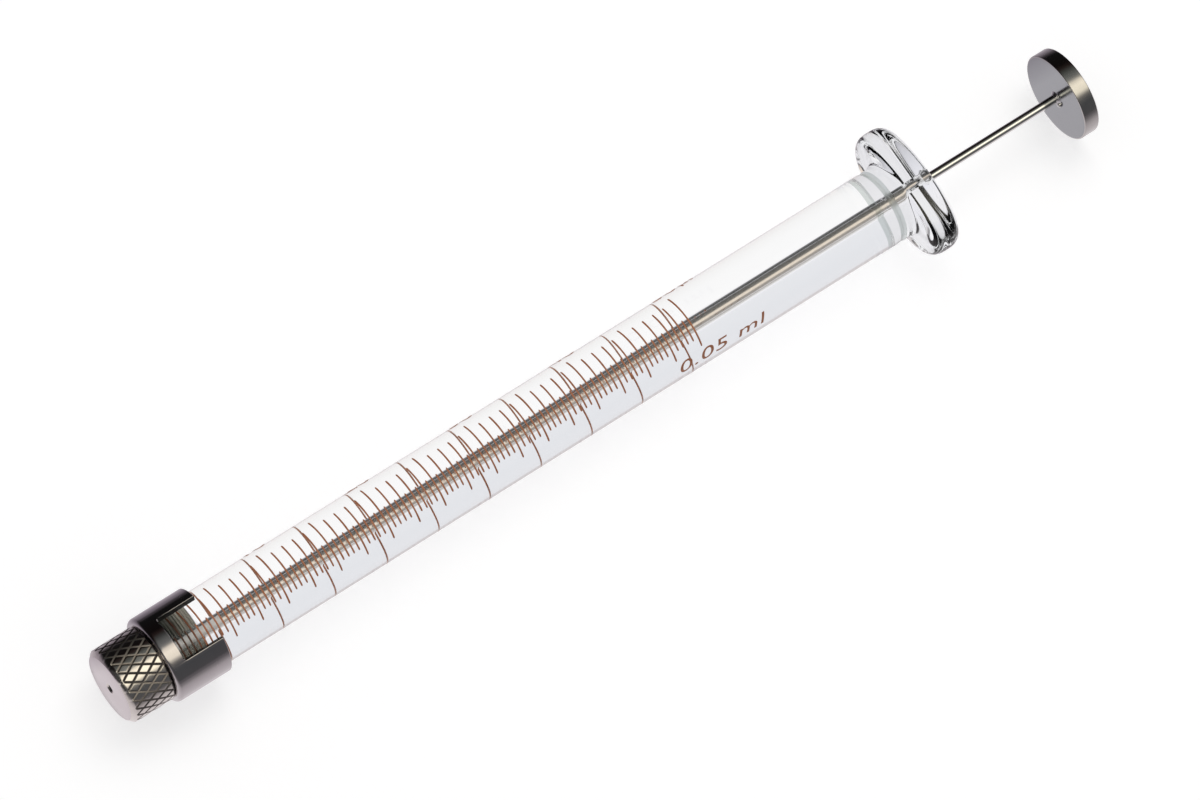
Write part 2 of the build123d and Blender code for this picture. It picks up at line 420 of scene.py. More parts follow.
def new_group(name, inputs, outputs):
    """An empty shader node group with float inputs and outputs."""
    group = bpy.data.node_groups.new(name, "ShaderNodeTree")
    for socket, default in inputs:
        made = group.interface.new_socket(socket, in_out="INPUT", socket_type="NodeSocketFloat")
        made.default_value = default
    for socket in outputs:
        group.interface.new_socket(socket, in_out="OUTPUT", socket_type="NodeSocketFloat")
    return group, group.nodes.new("NodeGroupInput"), group.nodes.new("NodeGroupOutput")


def turning_marks_group():
    """Fine rings that a lathe leaves, round a turned surface and across a faced end."""
    name = "Turning marks"
    if name in bpy.data.node_groups:
        return bpy.data.node_groups[name]
    group, given, result = new_group(name, [("Rings per metre", 9000.0), ("Drift", 0.5)], ["Rings", "Patches"])
    place = group.nodes.new("ShaderNodeTexCoord")
    parts = group.nodes.new("ShaderNodeSeparateXYZ")
    group.links.new(place.outputs["Object"], parts.inputs[0])
    across = math_node(group, "MULTIPLY", parts.outputs["Y"], parts.outputs["Y"])
    squared = math_node(group, "MULTIPLY_ADD", parts.outputs["Z"], parts.outputs["Z"], across)
    along = math_node(group, "ADD", parts.outputs["X"], math_node(group, "SQRT", squared))
    rings = noise_node(group, along, given.outputs["Rings per metre"], 2.0, "1D")
    patches = noise_node(group, place.outputs["Object"], 900.0, 3.0)
    drifted = math_node(group, "MULTIPLY", math_node(group, "SUBTRACT", patches, 0.5), given.outputs["Drift"])
    group.links.new(math_node(group, "ADD", rings, drifted, clamp=True), result.inputs["Rings"])
    group.links.new(patches, result.inputs["Patches"])
    return group


def handling_group():
    """Faint smudges and specks from handling."""
    name = "Handling marks"
    if name in bpy.data.node_groups:
        return bpy.data.node_groups[name]
    group, given, result = new_group(name, [("Smudge scale", 350.0), ("Speck scale", 6000.0)], ["Smudges", "Specks"])
    place = group.nodes.new("ShaderNodeTexCoord")
    smudges = noise_node(group, place.outputs["Object"], given.outputs["Smudge scale"], 4.0)
    group.links.new(range_node(group, smudges, 0.42, 0.68, smooth=True), result.inputs["Smudges"])
    cells = group.nodes.new("ShaderNodeTexVoronoi")
    feed(group, cells, Vector=place.outputs["Object"], Scale=given.outputs["Speck scale"])
    speck = range_node(group, cells.outputs["Distance"], 0.16, 0.08)
    chosen = math_node(group, "GREATER_THAN", smudges, 0.6)
    group.links.new(math_node(group, "MULTIPLY", speck, chosen), result.inputs["Specks"])
    return group


def place_group(tree, group, **values):
    """A node group placed in a material with its own values."""
    node = tree.nodes.new("ShaderNodeGroup")
    node.node_tree = group
    feed(tree, node, **values)
    return node


def bump_from(tree, shader, height, depth):
    """Feeds a height into the shader's normal; depth is in metres."""
    node = tree.nodes.new("ShaderNodeBump")
    feed(tree, node, Strength=1.0, Distance=depth, Height=height)
    feed(tree, shader, Normal=node.outputs["Normal"])


def scaled(colour, factor=1.0):
    """A colour made lighter or darker, with its alpha."""
    return (*(min(1.0, channel * factor) for channel in colour), 1.0)


def metal_finish(name, colour, roughness, rings_per_metre, ring_depth, uneven=0.1, patch=0.08):
    """Turned metal: lathe rings, patches of slightly different polish, smudges and specks."""
    material, tree, shader = new_finish(name)[:3]
    marks = place_group(tree, turning_marks_group(), Rings_per_metre=rings_per_metre)
    touched = place_group(tree, handling_group())
    shade = mix_node(tree, marks.outputs["Patches"], scaled(colour, 1 - patch), scaled(colour, 1 + patch))
    rough = math_node(tree, "MULTIPLY_ADD", marks.outputs["Rings"], uneven, roughness - uneven / 2)
    rough = math_node(tree, "MULTIPLY_ADD", touched.outputs["Smudges"], 0.05, rough)
    rough = math_node(tree, "MULTIPLY_ADD", touched.outputs["Specks"], 0.15, rough, clamp=True)
    feed(tree, shader, Metallic=1.0, Base_Color=shade, Roughness=rough)
    bump_from(tree, shader, marks.outputs["Rings"], ring_depth)
    return material


def polymer_finish(name, colour):
    """Waxy white polymer with faint turning marks."""
    material, tree, shader = new_finish(name)[:3]
    marks = place_group(tree, turning_marks_group(), Rings_per_metre=12000.0)
    touched = place_group(tree, handling_group())
    shade = mix_node(tree, touched.outputs["Smudges"], scaled(colour), scaled(colour, 0.93))
    rough = math_node(tree, "MULTIPLY_ADD", marks.outputs["Patches"], 0.2, 0.35)
    feed(tree, shader, Base_Color=shade, IOR=1.37, Roughness=rough)
    bump_from(tree, shader, marks.outputs["Rings"], 0.004 * MM)
    return material


def ink_finish(name):
    """Fired ceramic ink, uneven in density and sheen, with painted shade: darker where no light comes through from
    behind.
    """
    s = settings("print")
    material, tree, shader = new_finish(name)[:3]
    place = tree.nodes.new("ShaderNodeTexCoord")
    density = noise_node(tree, place.outputs["Object"], 3500.0, 4.0, roughness=0.65)
    grain = noise_node(tree, place.outputs["Object"], 22000.0, 2.0)
    shade = mix_node(tree, density, scaled(s.ink, 0.72), scaled(s.ink, 1.35))
    split = tree.nodes.new("ShaderNodeSeparateXYZ")
    feed(tree, split, Vector=place.outputs["Object"])
    # Painted shade: the ink is darkened towards the collar, standing in for the missing light from behind.
    lit = range_node(tree, split.outputs["X"], s.backed_end, s.clear_start, smooth=True)
    ink_with_painted_shade = mix_node(tree, lit, scaled(s.ink, 0.16), shade)
    feed(tree, shader, Base_Color=ink_with_painted_shade, Roughness=math_node(tree, "MULTIPLY_ADD", grain, 0.3, 0.28))
    bump_from(tree, shader, grain, 0.006 * MM)
    return material


def glass_finish(name, tint, base_roughness=0.0):
    """Clear glass with faint drawing streaks; lamps shine through it."""
    material, tree, shader, output = new_finish(name)
    place = tree.nodes.new("ShaderNodeTexCoord")
    touched = place_group(tree, handling_group(), Smudge_scale=180.0, Speck_scale=2500.0)
    rough = math_node(tree, "MULTIPLY_ADD", touched.outputs["Smudges"], 0.012, base_roughness)
    rough = math_node(tree, "MULTIPLY_ADD", touched.outputs["Specks"], 0.05, rough)
    feed(tree, shader, Base_Color=scaled(tint), Metallic=0.0, Transmission_Weight=1.0, IOR=1.47, Roughness=rough)
    stretch = tree.nodes.new("ShaderNodeMapping")
    feed(tree, stretch, Scale=(0.02, 1.0, 1.0), Vector=place.outputs["Object"])
    bump_from(tree, shader, noise_node(tree, stretch.outputs["Vector"], 500.0, 1.0), 0.01 * MM)
    open_to_lamps = tree.nodes.new("ShaderNodeBsdfTransparent")
    feed(tree, open_to_lamps, Color=(0.86, 0.86, 0.88, 1.0))
    path = tree.nodes.new("ShaderNodeLightPath")
    mixed = tree.nodes.new("ShaderNodeMixShader")
    feed(tree, mixed, Fac=path.outputs["Is Shadow Ray"])
    tree.links.new(shader.outputs["BSDF"], mixed.inputs[1])
    tree.links.new(open_to_lamps.outputs["BSDF"], mixed.inputs[2])
    feed(tree, output, Surface=mixed.outputs["Shader"])
    return material


# Pieces


def part_span(node):
    """Where a node starts and ends along X."""
    low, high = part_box(node)
    return low.x, high.x


def make_nut():
    """The knurled nut with its polished chamfer, needle hole and threaded bore."""
    s = settings("nut")
    needle_hole = frame["record"]["mounts"][0]["dims"]
    hole_radius, front_wall = needle_hole["r_mm"] * MM, needle_hole["length_mm"] * MM
    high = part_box("compression_nut")[1]
    back, outside = high.x, high.z
    bore = outside - s.wall
    front_radius = outside - s.chamfer
    knurl_start = s.chamfer - s.groove_depth
    rows = round(s.pitches * s.steps)
    step = (back - knurl_start) / rows
    lip = 0.03 * MM
    thread_rows = int((back - front_wall) / s.thread_pitch * 4)
    angles = even_angles(s.starts * s.steps)

    def groove(i, k):
        """Depth of the knurl at a grid point, from the nearer of the two grooves."""
        nearest = min(abs((place / s.steps + 0.5) % 1.0 - 0.5) for place in (k + i, k - i))
        return s.groove_depth * max(0.0, 1.0 - nearest / s.groove_share)

    face = [
        (front_wall, hole_radius),
        (s.hole_chamfer, hole_radius),
        (0.0, hole_radius + s.hole_chamfer),
        (0.0, front_radius / 2),
        (0.0, front_radius - lip),
        (0.3 * lip, front_radius - 0.3 * lip),
    ]
    columns = []
    for k, angle in enumerate(angles):
        column = face.copy()
        for i in range(rows + 1):
            x = knurl_start + i * step
            cone = front_radius + x
            back_cone = outside + back - x - s.back_chamfer
            column.append((x, min(outside - groove(i, k), cone, back_cone)))
        column.append((back, bore + 2 * lip + s.thread_depth))
        for i in range(thread_rows + 1):
            x = back - lip - (back - lip - front_wall) * i / thread_rows
            column.append((x, bore + s.thread_depth * thread_wave(x, angle, s.thread_pitch)))
        columns.append(column)

    def darken_grooves(work):
        """Gives the floor and walls of the knurl's grooves a much darker finish: painted shade in the grooves."""
        for face in work.faces:
            centre = face.calc_center_median()
            depth = outside - math.hypot(centre.y, centre.z)
            if s.chamfer < centre.x < back - s.back_chamfer and 0.002 * MM < depth < s.groove_depth:
                face.material_index = 2

    plating = metal_finish("Nut plating", s.plating, 0.13, 9000.0, 0.0012 * MM)
    # Painted shade: the grooves' dark colour stands in for the shade in the knurl's recesses.
    rolled = metal_finish("Nut rolled grooves painted shade", s.grooves, 0.34, 9000.0, 0.002 * MM)
    facing = metal_finish("Nut faced end", s.facing, 0.30, 14000.0, 0.0025 * MM, patch=0.04)
    piece = turned(
        "knurled_nut",
        angles,
        columns,
        [plating, facing, rolled],
        crossed=(len(face), len(face) + rows),
        slot_rows=[(2, 5, 1)],
        sharp=28.0,
        soften=darken_grooves,
    )
    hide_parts("compression_nut")
    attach(piece, "nut")


def make_seal():
    """Gives the hidden needle seal its polymer finish."""
    seal = frame["nodes"]["needle_seal"]
    seal.data.materials.clear()
    seal.data.materials.append(polymer_finish("Seal polymer", settings("plunger").tip))


def make_collar():
    """The plated collar with its threaded nose, window and tool marks inside."""
    s = settings("collar")
    low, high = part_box("hub_collar")
    nose, back, outside = low.x, high.x, high.z
    front = back - s.shoulder_width
    glass_front = part_span("glass_barrel")[0]
    line_start = part_span("graduation_lines")[0] + settings("print").line_width / 2
    window_front = line_start + s.window_start
    inside = outside - s.wall
    lip, lead = 0.04 * MM, 0.25 * MM
    corner_steps, rim_steps = 8, 6
    seat = glass_front - 0.05 * MM
    thread_end = front - 0.3 * MM
    thread_rows = int((thread_end - nose) / s.thread_pitch * 8)
    ring_rows = int((back - glass_front) / s.ring_pitch * 4)
    edge_turn = math.asin(s.corner_radius / outside)
    sides = {s.window_angle, 2 * math.pi - s.window_angle}
    angles = set(even_angles(SMOOTH_STEPS))
    for k in range(1, corner_steps + 1):
        inset = edge_turn * (1 - math.cos(math.pi / 2 * k / corner_steps))
        angles |= {s.window_angle - inset, 2 * math.pi - s.window_angle + inset}
    for k in range(1, rim_steps + 1):
        beyond = s.window_rim / outside * (1 - math.cos(math.pi / 2 * k / rim_steps))
        angles |= {s.window_angle + beyond, 2 * math.pi - s.window_angle - beyond}
    angles = sorted(a for a in angles if all(abs(a - side) > 1e-4 for side in sides))

    short = window_front + s.corner_radius

    def window_end(angle):
        """Where the collar ends at this angle: its back, or the window's rounded end."""
        off = min(angle, 2 * math.pi - angle)
        if off > s.window_angle:
            return back
        into = min(1.0, (s.window_angle - off) / edge_turn)
        return window_front + s.corner_radius * (1 - math.sqrt(1 - (1 - into) ** 2))

    def rim_drop(angle):
        """How far the rounded rim beside the window lies below the collar's outside."""
        beyond = (min(angle, 2 * math.pi - angle) - s.window_angle) * outside
        into = min(s.window_rim, max(0.0, s.window_rim - beyond))
        return s.window_rim - math.sqrt(s.window_rim**2 - into**2) if beyond > -1e-6 * MM else 0.0

    def column_at(angle, end):
        """The collar's section at one angle, cut short at end."""
        drop = rim_drop(angle) if end > short else 0.0
        column = [(nose, s.seat_radius + lip), (nose, s.nose_radius - lead)]
        for i in range(thread_rows + 1):
            x = nose + (thread_end - nose) * i / thread_rows
            ease = min(1.0, (x - nose) / lead, (thread_end - x) / lead)
            crest = s.nose_radius - lead * max(0.0, 1 - (x - nose) / lead)
            wave = thread_wave(x, angle, s.thread_pitch)
            column.append((x, crest - s.thread_depth * wave * max(0.0, ease)))
        root = s.nose_radius - s.thread_depth
        column += [(thread_end + 0.05 * MM, root), (front, root)]
        column += rounded((front, 0.0), (front, outside), (back, outside), s.edge_radius, 10)
        column += [(min(end, short) - lip, outside), (min(end - lip, short + lip), outside - drop)]
        column += [(end - lip, outside - drop), (end, outside - max(lip, drop))]
        column += [(end, inside + lip), (end - lip, inside)]
        for i in range(ring_rows + 1):
            x = back - lip - (back - lip - glass_front) * i / ring_rows
            ring = s.ring_depth * (0.5 - 0.5 * math.cos(2 * math.pi * x / s.ring_pitch))
            column.append((x, inside + ring) if x < end - lip else (end - lip, inside))
        return column + [(seat, inside), (seat, s.seat_radius), (nose + lip, s.seat_radius)]

    stations = [(angle, column_at(angle, window_end(angle))) for angle in angles]
    for side in sides:
        ends = (short, back) if side < math.pi else (back, short)
        stations += [(side - 1e-9 + 2e-9 * k, column_at(side, end)) for k, end in enumerate(ends)]
    stations.sort(key=lambda station: station[0])

    def darken_walls(work):
        """Gives the window's side walls a near-black finish: painted shade on the walls."""
        for face in work.faces:
            centre = face.calc_center_median()
            across = Vector((0.0, centre.z, -centre.y)).normalized()
            if abs(face.normal.dot(across)) > 0.9:
                face.material_index = 2

    plating = metal_finish("Collar plating", s.plating, 0.10, 7000.0, 0.0008 * MM, uneven=0.05, patch=0.05)
    # Painted shade: the collar's inside and the window's walls get dark colours in place of the shade that falls
    # there.
    bored = metal_finish("Collar bored inside painted shade", s.bored, 0.24, 5000.0, 0.003 * MM)
    milled = metal_finish("Collar milled walls painted shade", s.milled, 0.3, 5000.0, 0.001 * MM)
    rows = len(stations[0][1])
    piece = turned(
        "collar_shell",
        [a for a, c in stations],
        [c for a, c in stations],
        [plating, bored, milled],
        slot_rows=[(rows - ring_rows - 5, rows - 3, 1)],
        sharp=30.0,
        soften=darken_walls,
    )
    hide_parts("hub_collar")
    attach(piece, "barrel")


def flange_reach(angle, inset, half_length, half_width, tip):
    """How far the flange's oval reaches at an angle, once it is inset all round."""
    tip_centre = half_length - tip
    side = (tip_centre**2 + half_width**2 - tip**2) / (2 * (half_width - tip))
    side_centre = side - half_width
    y, z = abs(math.sin(angle)), abs(math.cos(angle))
    normal = Vector((tip_centre, side_centre)).normalized()
    meet = Vector((tip_centre, 0.0)) + normal * (tip - inset)
    if y * meet.y > z * meet.x:
        along = y * tip_centre
        return along + math.sqrt(along**2 - tip_centre**2 + (tip - inset) ** 2)
    along = -z * side_centre
    return along + math.sqrt(along**2 - side_centre**2 + (side - inset) ** 2)


def resampled(points, count):
    """Points spread evenly along a run of straight pieces."""
    points = np.asarray(points)
    far = np.concatenate([[0], np.cumsum(np.linalg.norm(np.diff(points, axis=0), axis=1))])
    places = np.linspace(0, far[-1], count)
    return np.stack([np.interp(places, far, points[:, i]) for i in (0, 1)], axis=1)


def softened(points, rounds):
    """Points with their corners eased by averaging neighbours."""
    points = points.copy()
    for _ in range(rounds):
        points[1:-1] = 0.25 * points[:-2] + 0.5 * points[1:-1] + 0.25 * points[2:]
    return points


def make_glass():
    """The glass barrel: thick tube, shallow neck and fire-polished finger flange in one piece."""
    s = settings("glass")
    low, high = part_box("glass_barrel")
    front, back = low.x, high.x
    flange_front = back - s.flange_width
    flange_middle = back - s.flange_width / 2
    neck_back = flange_front - s.neck_land
    rim_steps, dip_steps = 12, 8
    front_points, front_rounds, rear_points, rear_rounds = 44, 14, 30, 3
    angles = even_angles(SMOOTH_STEPS)
    columns = []
    for angle in angles:
        stray = s.waviness * (0.5 + 0.25 * math.sin(2 * angle + 0.7) + 0.25 * math.sin(3 * angle + 2.1))

        def reach(inset):
            return flange_reach(angle, inset, high.y - stray, high.z - 0.3 * stray, s.flange_tip)

        edge = s.flange_edge + (s.lobe_edge - s.flange_edge) * math.sin(angle) ** 4
        rim = []
        for k in range(rim_steps + 1):
            turn = math.pi / 2 * k / rim_steps
            rim.append((edge * (1 - math.cos(turn)), reach(edge * (1 - math.sin(turn)))))
        column = [
            (front + s.front_edge, s.bore_radius),
            (front, s.bore_radius + s.front_edge),
            (front, s.tube_radius - s.front_edge),
            (front + s.front_edge, s.tube_radius),
            (front + s.front_edge + 0.1 * MM, s.tube_radius),
            (neck_back - s.neck_width - 0.1 * MM, s.tube_radius),
        ]
        for k in range(dip_steps + 1):
            share = k / dip_steps
            dip = s.neck_depth * math.sin(math.pi * share) ** 2
            column.append((neck_back - s.neck_width * (1 - share), s.tube_radius - dip))
        run = [(neck_back + 0.1 * MM, s.tube_radius)]
        free = [(flange_front + x, r) for x, r in rim if r > s.tube_radius + 0.01 * MM]
        run.append((max(free[0][0] - 0.05 * MM, flange_front), s.tube_radius))
        run += [*free, (flange_middle, reach(0.0))]
        column += softened(resampled(run, front_points), front_rounds).tolist()
        rear = [(flange_middle, reach(0.0))]
        rear += [(back - x, r) for x, r in reversed(rim)]
        rear.append((back, s.bore_radius + s.mouth_chamfer))
        column += softened(resampled(rear, rear_points), rear_rounds).tolist()[1:]
        column += [
            (back - s.mouth_chamfer, s.bore_radius),
            (back - s.mouth_chamfer - 0.1 * MM, s.bore_radius),
            ((front + back) / 2, s.bore_radius),
        ]
        columns.append(column)
    # The neck band's finish is painted shade: a darker grey-green tint over the groove's rows, frosted by roughness.
    finishes = [glass_finish("Barrel glass", s.tint), glass_finish("Neck band glass painted shade", s.seam, 0.3)]
    piece = turned("glass_tube_and_flange", angles, columns, finishes, slot_rows=[(6, 14, 1)], sharp=40.0)
    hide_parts("glass_barrel")
    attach(piece, "barrel")


def scale_places():
    """Where the zero line is and how far apart divisions are."""
    start, end = part_span("graduation_lines")
    width = settings("print").line_width
    return start + width / 2, (end - start - width) / DIVISIONS


# Graduation lines: every how many divisions, and where each arc starts and stops in degrees
LINE_ARCS = (
    (10, ((-47.0, 47.0), (133.0, 227.0))),
    (5, ((-47.0, 0.5),)),
    (2, ((-34.0, 34.5),)),
    (1, ((-34.0, 0.5),)),
)
INK_SHARP = math.radians(50)


def make_lines():
    """The graduation lines as thin raised arcs of ink."""
    s = settings("print")
    zero, division = scale_places()
    base = settings("glass").tube_radius + s.gap
    top = base + s.thickness
    points, faces = [], []

    def arc(x, start_degrees, stop_degrees, wobble):
        """One line: a low ridge of ink with rounded ends."""
        steps = max(8, round(abs(stop_degrees - start_degrees) / 2))
        first = len(points)
        for k in range(steps + 1):
            share = k / steps
            angle = math.radians(start_degrees + (stop_degrees - start_degrees) * share)
            end = min(share, 1 - share) * steps
            narrow = min(1.0, 0.55 + 0.45 * end) * (1 + 0.05 * math.sin(9.0 * share + wobble))
            half = s.line_width / 2 * narrow
            for offset, radius in ((-half, base), (-0.8 * half, top), (0.8 * half, top), (half, base)):
                points.append((x + offset, radius * math.sin(angle), radius * math.cos(angle)))
            if k:
                a = first + 4 * (k - 1)
                for i in range(4):
                    j = (i + 1) % 4
                    faces.append((a + i, a + j, a + 4 + j, a + 4 + i))
        faces.append(tuple(range(first, first + 4)))
        faces.append(tuple(range(first + 4 * steps, first + 4 * steps + 4)))

    for n in range(DIVISIONS + 1):
        arcs = next(arcs for every, arcs in LINE_ARCS if n % every == 0)
        for k, (start, stop) in enumerate(arcs):
            arc(zero + n * division, start, stop, n + 0.5 * k)
    mesh = bpy.data.meshes.new("scale_lines")
    mesh.from_pydata(points, [], faces)
    piece = finish_mesh("scale_lines", mesh, [ink_finish("Fired ink")], INK_SHARP)
    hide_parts("graduation_lines")
    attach(piece, "barrel")


# Lettering: the font's height of a tall letter at size 1, and the capacity's slant, spacing and widening
TALL_LETTER = 0.72
CAPACITY_STYLE = (0.15, 1.075, 1.58)


def wrapped_text(words, height, place, radius, thickness, slant=0.0, spacing=1.0, widening=1.0):
    """Mesh of raised lettering that reads along X and is wrapped round the tube.

    place is (x, angle, align): where the text's middle or start is and the angle of its feet.
    """
    x_at, angle_at, align = place
    curve = bpy.data.curves.new("lettering", "FONT")
    curve.body, curve.align_x, curve.size, curve.shear = words, align, 1.0, slant
    curve.resolution_u, curve.space_character = 8, spacing
    holder = link_object("lettering", curve)
    bpy.context.view_layer.update()
    flat = bpy.data.meshes.new_from_object(holder.evaluated_get(bpy.context.evaluated_depsgraph_get()))
    bpy.data.objects.remove(holder)
    work = bmesh.new()
    work.from_mesh(flat)
    tall = max(v.co.y for v in work.verts if v.co.y < 0.8) if "l" not in words else TALL_LETTER
    grow = height / tall
    bmesh.ops.scale(work, vec=(grow * widening, grow, 1.0), verts=work.verts)
    bottom = min(v.co.y for v in work.verts)
    top = max(v.co.y for v in work.verts)
    cuts = 24
    for k in range(1, cuts):
        level = bottom + (top - bottom) * k / cuts
        geometry = work.verts[:] + work.edges[:] + work.faces[:]
        bmesh.ops.bisect_plane(work, geom=geometry, plane_co=(0, level, 0), plane_no=(0, 1, 0), dist=1e-7)
    raised = bmesh.ops.extrude_face_region(work, geom=work.faces[:])
    for vert in raised["geom"]:
        if isinstance(vert, bmesh.types.BMVert):
            vert.co.z += thickness
    for vert in work.verts:
        turn = angle_at + vert.co.y / radius
        out = radius + vert.co.z
        vert.co = (x_at + vert.co.x, out * math.sin(turn), out * math.cos(turn))
    mesh = bpy.data.meshes.new("lettering")
    work.to_mesh(mesh)
    work.free()
    bpy.data.meshes.remove(flat)
    return mesh


def make_numbers():
    """The scale's numerals, its unit and the capacity, printed round the tube."""
    s = settings("print")
    zero, division = scale_places()
    radius = settings("glass").tube_radius + s.gap
    whole = bmesh.new()
    apart = DIVISIONS // CAPACITY
    labels = [
        (str(n), s.digit_height, (zero + n * apart * division + s.digit_shift, s.digit_angle, "CENTER"))
        for n in range(10, CAPACITY + 1, 10)
    ]
    labels.append(("µl", s.digit_height * 0.8, (zero + s.unit_place, s.digit_angle, "LEFT")))
    capacity_place = (zero + s.capacity_place, s.capacity_angle, "LEFT")
    labels.append(("0.05 ml", s.capacity_height, capacity_place, *CAPACITY_STYLE))
    for words, height, place, *style in labels:
        mesh = wrapped_text(words, height, place, radius, s.thickness, *style)
        whole.from_mesh(mesh)
        bpy.data.meshes.remove(mesh)
    mesh = bpy.data.meshes.new("scale_numbers")
    whole.to_mesh(mesh)
    whole.free()
    piece = finish_mesh("scale_numbers", mesh, [ink_finish("Fired ink numerals")], INK_SHARP)
    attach(piece, "barrel")


def make_plunger():
    """The polymer tip, ground wire, thumb button and the solder that joins them."""
    s = settings("plunger")
    angles = even_angles(ROD_STEPS)

    def plain(profile):
        return [profile] * len(angles)

    front, back = part_span("plunger_tip")
    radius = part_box("plunger_tip")[1].z
    lip, play = 0.1 * MM, 0.02 * MM
    grooves, groove_half, groove_depth = 3, 0.12 * MM, 0.04 * MM
    hollow = back - s.spigot_length - play
    profile = [(front, 0.0), (front, radius - lip), (front + lip, radius)]
    for k in range(1, grooves + 1):
        x = front + (back - front) * k / (grooves + 1)
        profile += [(x - groove_half, radius), (x, radius - groove_depth), (x + groove_half, radius)]
    profile += [(back - lip / 2, radius), (back, radius - lip / 2), (back, s.spigot_radius + play)]
    profile += [(hollow, s.spigot_radius + play), (hollow, 0.0)]
    tip = turned("plunger_tip_plug", angles, plain(profile), [polymer_finish("Tip polymer", s.tip)], loop=False)
    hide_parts("plunger_tip")
    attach(tip, "plunger_slider")

    wire_front, wire_back = part_span("plunger_wire")
    shoulder = part_span("plunger_button")[0] - 0.01 * MM
    tip_back = back
    profile = [
        (wire_front, 0.0),
        (wire_front, s.spigot_radius - 0.04 * MM),
        (wire_front + 0.04 * MM, s.spigot_radius),
        (tip_back + play, s.spigot_radius),
        (tip_back + play, s.wire_radius - 0.03 * MM),
        (tip_back + 0.05 * MM, s.wire_radius),
        (shoulder, s.wire_radius),
        (shoulder, s.tang_radius),
        (wire_back - 0.05 * MM, s.tang_radius),
        (wire_back, s.tang_radius - 0.05 * MM),
        (wire_back, 0.0),
    ]
    steel = metal_finish("Ground wire", s.steel, 0.12, 4000.0, 0.0002 * MM, uneven=0.03, patch=0.03)
    wire = turned("plunger_wire_rod", angles, plain(profile), [steel], loop=False)
    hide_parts("plunger_wire")
    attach(wire, "plunger")

    front, back = part_span("plunger_button")
    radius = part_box("plunger_button")[1].z
    socket = s.tang_radius + 0.01 * MM
    deep = wire_back + play
    profile = [(deep, 0.0), (deep, socket), (front + 0.05 * MM, socket), (front, socket + 0.05 * MM)]
    profile += [(front, radius * share) for share in (0.3, 0.6, 0.9)]
    face_rows = len(profile)
    profile += rounded((front, 0.0), (front, radius), (back, radius), s.button_edge)
    profile += rounded((front, radius), (back, radius), (back, 0.0), s.button_edge)
    rim_rows = len(profile)
    profile += [(back, radius * share) for share in (0.9, 0.6, 0.3, 0.0)]
    face = metal_finish("Button face", s.button, 0.14, 16000.0, 0.001 * MM, uneven=0.04, patch=0.03)
    rim = metal_finish("Button rim", s.rim, 0.14, 9000.0, 0.001 * MM)
    angles = even_angles(BUTTON_STEPS)
    slots = [(face_rows, rim_rows - 1, 1)]
    button = turned("thumb_button", angles, plain(profile), [face, rim], loop=False, slot_rows=slots)
    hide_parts("plunger_button")
    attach(button, "plunger")

    solder = frame["nodes"]["button_solder"]
    solder.data.materials.clear()
    solder.data.materials.append(metal_finish("Solder", (0.5, 0.49, 0.5), 0.22, 3000.0, 0.002 * MM))
    for polygon in solder.data.polygons:
        polygon.use_smooth = True


# Studio


def seen_path(tree):
    """1 where the ray comes from the camera, a reflection or bent light."""
    path = tree.nodes.new("ShaderNodeLightPath")
    total = path.outputs["Is Camera Ray"]
    for name in ("Is Glossy Ray", "Is Transmission Ray"):
        total = math_node(tree, "MAXIMUM", total, path.outputs[name])
    return total


def floor_material(colour, glow_share):
    """Pale floor: part of its white glows for the camera and in reflections, the rest takes shadows."""
    material, tree, output = empty_material("Studio floor")
    matt = tree.nodes.new("ShaderNodeBsdfDiffuse")
    glow = tree.nodes.new("ShaderNodeEmission")
    both = tree.nodes.new("ShaderNodeAddShader")
    feed(tree, matt, Color=scaled(colour))
    feed(tree, glow, Strength=math_node(tree, "MULTIPLY", seen_path(tree), glow_share))
    for shader, socket in zip((matt, glow), both.inputs):
        tree.links.new(shader.outputs[0], socket)
    feed(tree, output, Surface=both.outputs[0])
    return material


def tone_node(tree, layer):
    """The tones of a layer of vertex colours."""
    node = tree.nodes.new("ShaderNodeVertexColor")
    node.layer_name = layer
    return node.outputs["Color"]


def tone_material(name, choose):
    """A glowing material; choose makes its colour from layers of tones."""
    material, tree, output = empty_material(name)
    glow = tree.nodes.new("ShaderNodeEmission")
    feed(tree, glow, Color=choose(tree))
    feed(tree, output, Surface=glow.outputs[0])
    return material


def tent_tones(tree):
    """Painted reflection tones for mirrors, for a mirror inside the glass, and for light straight through the glass.
    """
    path = tree.nodes.new("ShaderNodeLightPath")
    mirrored_once = math_node(tree, "COMPARE", path.outputs["Glossy Depth"], 1.0, 0.5)
    through = mix_node(tree, mirrored_once, tone_node(tree, "clear tone"), tone_node(tree, "glass tone"))
    return mix_node(tree, path.outputs["Is Transmission Ray"], tone_node(tree, "mirror tone"), through)


def vane_tones(tree):
    """One painted tone on each side of a vane: a painted lit side and a painted dim side."""
    side = tree.nodes.new("ShaderNodeNewGeometry")
    return mix_node(tree, side.outputs["Backfacing"], tone_node(tree, "lit side"), tone_node(tree, "dim side"))


def stage_mesh(name, points, faces, material):
    """A mesh of the studio."""
    mesh = bpy.data.meshes.new(name)
    mesh.from_pydata(points, [], faces)
    mesh.materials.append(material)
    made = link_object(name, mesh)
    return made


def tones_at(places, table):
    """Colours read off a table of (place, red, green, blue) rows."""
    table = np.asarray(table)
    channels = [np.interp(places, table[:, 0], table[:, i]) for i in (1, 2, 3)]
    return np.stack([*channels, np.ones(len(places))], axis=1)


def add_tones(made, layer, tones):
    """Gives a mesh of the studio a layer of tones."""
    attribute = made.data.color_attributes.new(layer, "FLOAT_COLOR", "POINT")
    attribute.data.foreach_set("color", tones.ravel())


# Places across the tent's floor in millimetres: from, to and how many
FLOOR_RUNS = ((-500, -70, 40), (-68, -3, 131), (-2.95, 2.95, 119), (3, 68, 131), (70, 500, 40))
